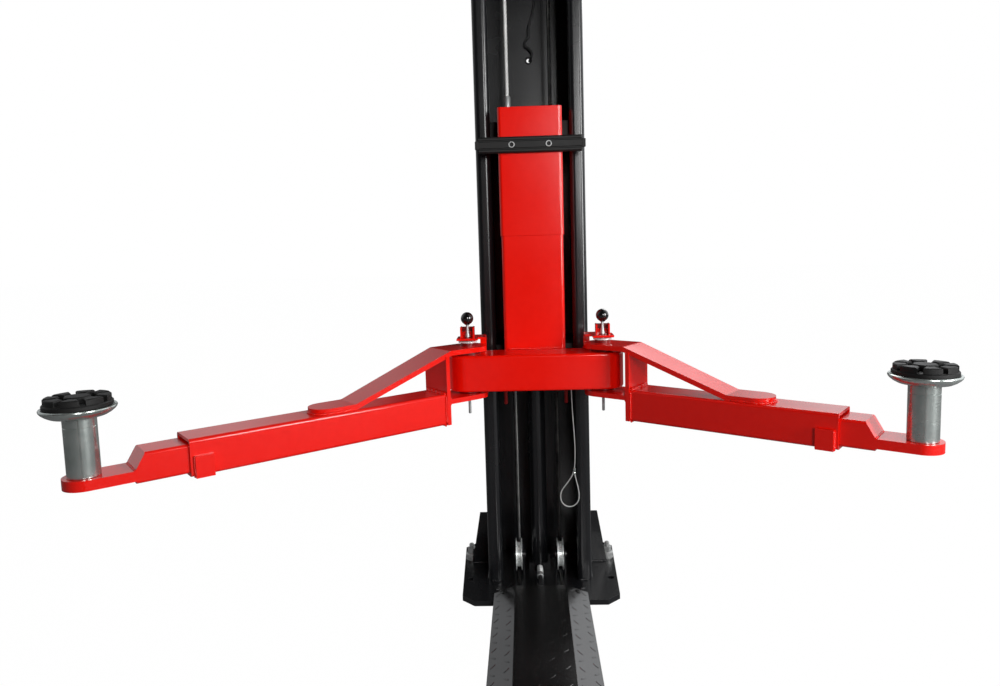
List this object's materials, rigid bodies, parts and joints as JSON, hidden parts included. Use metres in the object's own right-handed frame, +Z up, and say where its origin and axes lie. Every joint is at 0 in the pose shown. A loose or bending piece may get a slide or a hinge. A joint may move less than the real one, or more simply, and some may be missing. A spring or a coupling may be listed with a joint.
{
  "type": "two post car lift",
  "caption": "Two post car lift with swinging telescopic arms on balanced carriages and a floor cover plate.",
  "frame": {"origin": "on the floor, midway between the two posts", "axes": "+Z up; +Y from the middle towards post a, the one in the picture; X across the posts"},
  "size_m": [1.8082, 3.324, 2.82],
  "materials": {
    "black_paint": "semi-gloss",
    "red_paint": "semi-gloss",
    "zinc": "zinc plated",
    "cable_steel": "stranded",
    "rubber": "matt",
    "chequer_plate": "semi-gloss",
    "hard_chrome": "polished"
  },
  "bodies": {
    "frame": {"floor_cover": "chequer_plate", "hydraulic_hose": "rubber", "switch_wire": "rubber", "column_a": "black_paint", "base_plate_a": "black_paint", "anchor_bolts_a": "zinc", "top_cap_a": "black_paint", "sheave_bracket_a": "black_paint", "cylinder_a": "black_paint", "crossing_cable_a": "cable_steel", "column_b": "black_paint", "base_plate_b": "black_paint", "anchor_bolts_b": "zinc", "top_cap_b": "black_paint", "sheave_bracket_b": "black_paint", "cylinder_b": "black_paint", "crossing_cable_b": "cable_steel"},
    "carriage_a": {"carriage_frame_a": "red_paint", "cable_sockets_a": "zinc", "arm_beam_a": "red_paint", "pivot_pins_a": "zinc", "guard_strip_a": "rubber", "release_cable_a": "cable_steel", "rise_cable_a": "cable_steel", "pull_cable_a": "cable_steel"},
    "piston_a": {"piston_rod_a": "hard_chrome"},
    "sheave_left_a": {"sheave_left_a": "zinc"},
    "sheave_right_a": {"sheave_right_a": "zinc"},
    "outer_arm_long_a": {"outer_arm_long_a": "red_paint"},
    "inner_arm_long_a": {"inner_arm_long_a": "red_paint"},
    "pad_long_a": {"pad_post_long_a": "zinc", "rubber_pad_long_a": "rubber"},
    "lock_rod_long_a": {"lock_rod_long_a": "zinc"},
    "outer_arm_short_a": {"outer_arm_short_a": "red_paint"},
    "inner_arm_short_a": {"inner_arm_short_a": "red_paint"},
    "pad_short_a": {"pad_post_short_a": "zinc", "rubber_pad_short_a": "rubber"},
    "lock_rod_short_a": {"lock_rod_short_a": "zinc"},
    "carriage_b": {"carriage_frame_b": "red_paint", "cable_sockets_b": "zinc", "arm_beam_b": "red_paint", "pivot_pins_b": "zinc", "guard_strip_b": "rubber", "release_cable_b": "cable_steel", "rise_cable_b": "cable_steel", "pull_cable_b": "cable_steel"},
    "piston_b": {"piston_rod_b": "hard_chrome"},
    "sheave_left_b": {"sheave_left_b": "zinc"},
    "sheave_right_b": {"sheave_right_b": "zinc"},
    "outer_arm_long_b": {"outer_arm_long_b": "red_paint"},
    "inner_arm_long_b": {"inner_arm_long_b": "red_paint"},
    "pad_long_b": {"pad_post_long_b": "zinc", "rubber_pad_long_b": "rubber"},
    "lock_rod_long_b": {"lock_rod_long_b": "zinc"},
    "outer_arm_short_b": {"outer_arm_short_b": "red_paint"},
    "inner_arm_short_b": {"inner_arm_short_b": "red_paint"},
    "pad_short_b": {"pad_post_short_b": "zinc", "rubber_pad_short_b": "rubber"},
    "lock_rod_short_b": {"lock_rod_short_b": "zinc"}
  },
  "joints": [
    {"name": "lift_a", "type": "slide", "parent": "frame", "child": "carriage_a", "axis": [0, 0, 1], "range_m": [-0.45, 1.35], "deforming": ["rise_cable_a", "pull_cable_a", "release_cable_a"]},
    {"name": "piston_a", "type": "slide", "parent": "frame", "child": "piston_a", "axis": [0, 0, 1], "range_m": [-0.225, 0.675]},
    {"name": "sheave_left_a_spin", "type": "hinge", "parent": "frame", "child": "sheave_left_a", "pos_m": [-0.057, 1.46, 0.064], "axis": [1, 0, 0], "range_deg": [-662.11, 1984.32]},
    {"name": "sheave_right_a_spin", "type": "hinge", "parent": "frame", "child": "sheave_right_a", "pos_m": [0.057, 1.46, 0.064], "axis": [1, 0, 0], "range_deg": [-1984.32, 662.11]},
    {"name": "arm_swing_long_a", "type": "hinge", "parent": "carriage_a", "child": "outer_arm_long_a", "pos_m": [-0.168, 1.305, 0.612], "axis": [0, 0, 1], "range_deg": [-39, 48]},
    {"name": "arm_extend_long_a", "type": "slide", "parent": "outer_arm_long_a", "child": "inner_arm_long_a", "axis": [-0.7749, -0.632, 0], "range_m": [-0.085, 0.25]},
    {"name": "pad_turn_long_a", "type": "hinge", "parent": "inner_arm_long_a", "child": "pad_long_a", "pos_m": [-0.8391, 0.75766, 0.53], "axis": [0, 0, 1], "continuous": true},
    {"name": "lock_pull_long_a", "type": "slide", "parent": "carriage_a", "child": "lock_rod_long_a", "axis": [0, 0, 1], "range_m": [0, 0.02]},
    {"name": "arm_swing_short_a", "type": "hinge", "parent": "carriage_a", "child": "outer_arm_short_a", "pos_m": [0.168, 1.305, 0.612], "axis": [0, 0, -1], "range_deg": [-36, 50]},
    {"name": "arm_extend_short_a", "type": "slide", "parent": "outer_arm_short_a", "child": "inner_arm_short_a", "axis": [0.808, -0.5892, 0], "range_m": [-0.055, 0.2]},
    {"name": "pad_turn_short_a", "type": "hinge", "parent": "inner_arm_short_a", "child": "pad_short_a", "pos_m": [0.74086, 0.88726, 0.53], "axis": [0, 0, 1], "continuous": true},
    {"name": "lock_pull_short_a", "type": "slide", "parent": "carriage_a", "child": "lock_rod_short_a", "axis": [0, 0, 1], "range_m": [0, 0.02]},
    {"name": "lift_b", "type": "slide", "parent": "frame", "child": "carriage_b", "axis": [0, 0, 1], "range_m": [-0.45, 1.35], "deforming": ["rise_cable_b", "pull_cable_b", "release_cable_b"]},
    {"name": "piston_b", "type": "slide", "parent": "frame", "child": "piston_b", "axis": [0, 0, 1], "range_m": [-0.225, 0.675]},
    {"name": "sheave_left_b_spin", "type": "hinge", "parent": "frame", "child": "sheave_left_b", "pos_m": [0.057, -1.46, 0.064], "axis": [-1, 0, 0], "range_deg": [-662.11, 1984.32]},
    {"name": "sheave_right_b_spin", "type": "hinge", "parent": "frame", "child": "sheave_right_b", "pos_m": [-0.057, -1.46, 0.064], "axis": [-1, 0, 0], "range_deg": [-1984.32, 662.11]},
    {"name": "arm_swing_long_b", "type": "hinge", "parent": "carriage_b", "child": "outer_arm_long_b", "pos_m": [0.168, -1.305, 0.612], "axis": [0, 0, 1], "range_deg": [-39, 48]},
    {"name": "arm_extend_long_b", "type": "slide", "parent": "outer_arm_long_b", "child": "inner_arm_long_b", "axis": [0.7749, 0.632, 0], "range_m": [-0.085, 0.25]},
    {"name": "pad_turn_long_b", "type": "hinge", "parent": "inner_arm_long_b", "child": "pad_long_b", "pos_m": [0.8391, -0.75766, 0.53], "axis": [0, 0, 1], "continuous": true},
    {"name": "lock_pull_long_b", "type": "slide", "parent": "carriage_b", "child": "lock_rod_long_b", "axis": [0, 0, 1], "range_m": [0, 0.02]},
    {"name": "arm_swing_short_b", "type": "hinge", "parent": "carriage_b", "child": "outer_arm_short_b", "pos_m": [-0.168, -1.305, 0.612], "axis": [0, 0, -1], "range_deg": [-36, 50]},
    {"name": "arm_extend_short_b", "type": "slide", "parent": "outer_arm_short_b", "child": "inner_arm_short_b", "axis": [-0.808, 0.5892, 0], "range_m": [-0.055, 0.2]},
    {"name": "pad_turn_short_b", "type": "hinge", "parent": "inner_arm_short_b", "child": "pad_short_b", "pos_m": [-0.74086, -0.88726, 0.53], "axis": [0, 0, 1], "continuous": true},
    {"name": "lock_pull_short_b", "type": "slide", "parent": "carriage_b", "child": "lock_rod_short_b", "axis": [0, 0, 1], "range_m": [0, 0.02]}
  ],
  "couplings": [
    {"joint": "piston_a", "follows": "lift_a", "ratio": 0.5},
    {"joint": "sheave_left_a_spin", "follows": "lift_a", "rad_per_m": 25.641},
    {"joint": "sheave_right_a_spin", "follows": "lift_a", "rad_per_m": -25.641},
    {"joint": "lift_b", "follows": "lift_a", "ratio": 1},
    {"joint": "piston_b", "follows": "lift_a", "ratio": 0.5},
    {"joint": "sheave_left_b_spin", "follows": "lift_a", "rad_per_m": 25.641},
    {"joint": "sheave_right_b_spin", "follows": "lift_a", "rad_per_m": -25.641}
  ]
}
